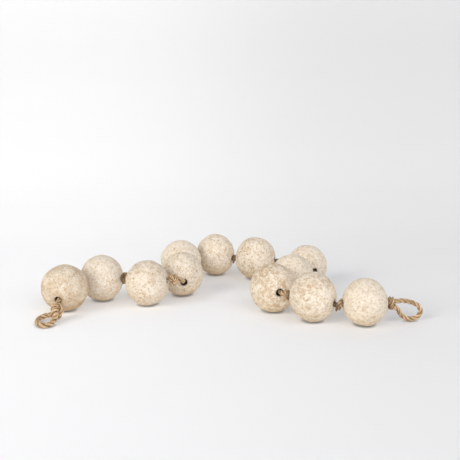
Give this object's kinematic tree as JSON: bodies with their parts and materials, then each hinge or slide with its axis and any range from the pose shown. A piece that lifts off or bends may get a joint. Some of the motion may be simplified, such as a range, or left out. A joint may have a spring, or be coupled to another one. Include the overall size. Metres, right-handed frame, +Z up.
{
  "type": "papier-mache ball garland",
  "caption": "Garland of papier-mache balls on a three-strand jute cord, knotted between the balls and at both ends, with a hanging loop at each end, laid down in a loose wave.",
  "frame": {"origin": "on the surface that the garland lies on, under the middle of the box around its balls and the cord strung through them, without the two end loops", "axes": "+X along the garland from its left end to its right end, +Y away from the viewer, +Z up"},
  "size_m": [0.6108, 0.3582, 0.079],
  "materials": {
    "papier_mache": "matte",
    "jute": "matte"
  },
  "bodies": {
    "root": {"ball_01": "papier_mache", "ball_02": "papier_mache", "ball_03": "papier_mache", "ball_04": "papier_mache", "ball_05": "papier_mache", "ball_06": "papier_mache", "ball_07": "papier_mache", "ball_08": "papier_mache", "ball_09": "papier_mache", "ball_10": "papier_mache", "ball_11": "papier_mache", "ball_12": "papier_mache", "cord_strung": "jute", "loop_left": "jute", "loop_right": "jute"}
  },
  "joints": []
}
